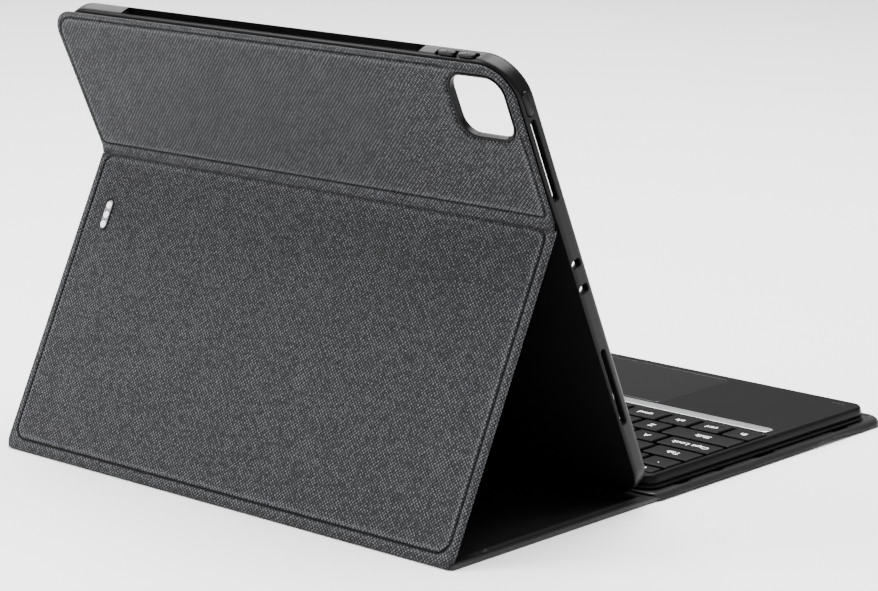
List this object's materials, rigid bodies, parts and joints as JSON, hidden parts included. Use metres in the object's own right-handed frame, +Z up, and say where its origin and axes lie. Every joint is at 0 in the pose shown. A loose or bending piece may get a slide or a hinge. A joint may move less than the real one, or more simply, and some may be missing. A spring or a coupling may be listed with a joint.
{
  "type": "tablet keyboard case",
  "caption": "Fold-back keyboard case for a large tablet: fabric covers, stand panel, moulded tray with camera window, and a lift-off keyboard with trackpad.",
  "frame": {"origin": "on the table, under the middle of the opened case's bounding box", "axes": "+Y away from the user towards the rear fold, +X to the user's right, +Z up"},
  "size_m": [0.2885, 0.3215, 0.2124],
  "materials": {
    "twill_fabric": "charcoal twill weave",
    "board": "matte pressed fibreboard",
    "lining": "smooth black microfibre-backed sheet",
    "steel": "plain steel",
    "soft_plastic": "satin moulded elastomer",
    "gloss_black": "glossy black",
    "bright_plate": "bright satin",
    "flap_leather": "smooth black synthetic leather",
    "deck_plastic": "fine matte moulded ABS",
    "silver_trim": "brushed bright strip",
    "dark_metal": "dark anodised",
    "silicone": "translucent silicone",
    "circuit_board": "solder-mask green",
    "ribbon": "amber polyimide",
    "battery_foil": "silver pouch",
    "light_pipe": "clear white",
    "trackpad_glass": "smooth semi-gloss",
    "key_plastic": "matte with white legends"
  },
  "bodies": {
    "base": {"cover_fabric": "twill_fabric", "cover_boards": "board", "cover_lining": "lining", "cover_magnets": "steel", "foot_rail": "soft_plastic"},
    "stand": {"stand_fabric": "twill_fabric", "stand_board": "board", "stand_lining": "lining", "stand_magnets": "steel", "contact_gasket": "soft_plastic", "contact_plate": "bright_plate"},
    "tray": {"tray_shell": "soft_plastic", "tray_lining": "lining", "foot_plate": "steel", "upper_board": "board", "upper_fabric": "twill_fabric", "camera_surround": "gloss_black"},
    "volume_up": {"volume_up_pad": "soft_plastic"},
    "volume_down": {"volume_down_pad": "soft_plastic"},
    "power_button": {"power_pad": "soft_plastic"},
    "keyboard": {"keyboard_flap": "flap_leather", "keyboard_shell": "deck_plastic", "keyboard_deck": "deck_plastic", "trim_strip": "silver_trim", "trackpad_bezel": "dark_metal", "key_plate": "steel", "membrane": "silicone", "dome_sheet": "silicone", "ribbon_cable": "ribbon", "main_board": "circuit_board", "battery": "battery_foil", "usb_port": "steel", "status_lights": "light_pipe", "keyboard_magnets": "steel", "case_screws": "steel", "trackpad_switch": "deck_plastic"},
    "keys_1": {"key_row_1": "key_plastic"},
    "keys_2": {"key_row_2": "key_plastic"},
    "keys_3": {"key_row_3": "key_plastic"},
    "keys_4": {"key_row_4": "key_plastic"},
    "keys_5": {"key_row_5": "key_plastic"},
    "keys_6": {"key_row_6": "key_plastic"},
    "space": {"space_bar": "key_plastic"},
    "trackpad_plate": {"trackpad": "trackpad_glass", "trackpad_board": "circuit_board"},
    "switch": {"power_knob": "deck_plastic"}
  },
  "joints": [
    {"name": "stand_fold", "type": "hinge", "parent": "base", "child": "stand", "pos_m": [0, 0.16025, 0], "axis": [-1, 0, 0], "range_deg": [0, 116.2]},
    {"name": "tray_fold", "type": "hinge", "parent": "stand", "child": "tray", "pos_m": [0, 0.09283, 0.13701], "axis": [1, 0, 0], "range_deg": [0, 50.2]},
    {"name": "keyboard_lift", "type": "slide", "parent": "base", "child": "keyboard", "axis": [0, 0, 1], "range_m": [0, 0.03]},
    {"name": "volume_up_press", "type": "slide", "parent": "tray", "child": "volume_up", "axis": [0, -0.4067, -0.9135], "range_m": [0, 0.0004], "stiffness_N_per_m": 150, "springref_m": -0.0006},
    {"name": "volume_down_press", "type": "slide", "parent": "tray", "child": "volume_down", "axis": [0, -0.4067, -0.9135], "range_m": [0, 0.0004], "stiffness_N_per_m": 150, "springref_m": -0.0006},
    {"name": "power_press", "type": "slide", "parent": "tray", "child": "power_button", "axis": [1, 0, 0], "range_m": [0, 0.0004], "stiffness_N_per_m": 150, "springref_m": -0.0006},
    {"name": "key_row_1_press", "type": "slide", "parent": "keyboard", "child": "keys_1", "axis": [0, 0, -1], "range_m": [0, 0.0011], "stiffness_N_per_m": 250, "springref_m": -0.002},
    {"name": "key_row_2_press", "type": "slide", "parent": "keyboard", "child": "keys_2", "axis": [0, 0, -1], "range_m": [0, 0.0011], "stiffness_N_per_m": 250, "springref_m": -0.002},
    {"name": "key_row_3_press", "type": "slide", "parent": "keyboard", "child": "keys_3", "axis": [0, 0, -1], "range_m": [0, 0.0011], "stiffness_N_per_m": 250, "springref_m": -0.002},
    {"name": "key_row_4_press", "type": "slide", "parent": "keyboard", "child": "keys_4", "axis": [0, 0, -1], "range_m": [0, 0.0011], "stiffness_N_per_m": 250, "springref_m": -0.002},
    {"name": "key_row_5_press", "type": "slide", "parent": "keyboard", "child": "keys_5", "axis": [0, 0, -1], "range_m": [0, 0.0011], "stiffness_N_per_m": 250, "springref_m": -0.002},
    {"name": "key_row_6_press", "type": "slide", "parent": "keyboard", "child": "keys_6", "axis": [0, 0, -1], "range_m": [0, 0.0011], "stiffness_N_per_m": 250, "springref_m": -0.002},
    {"name": "space_press", "type": "slide", "parent": "keyboard", "child": "space", "axis": [0, 0, -1], "range_m": [0, 0.0011], "stiffness_N_per_m": 150, "springref_m": -0.002},
    {"name": "trackpad_click", "type": "slide", "parent": "keyboard", "child": "trackpad_plate", "axis": [0, 0, -1], "range_m": [0, 0.0004], "stiffness_N_per_m": 400, "springref_m": -0.002},
    {"name": "power_slide", "type": "slide", "parent": "keyboard", "child": "switch", "axis": [0, 1, 0], "range_m": [0, 0.003]}
  ],
  "couplings": [
    {"joint": "tray_fold", "follows": "stand_fold", "ratio": 0.432}
  ]
}
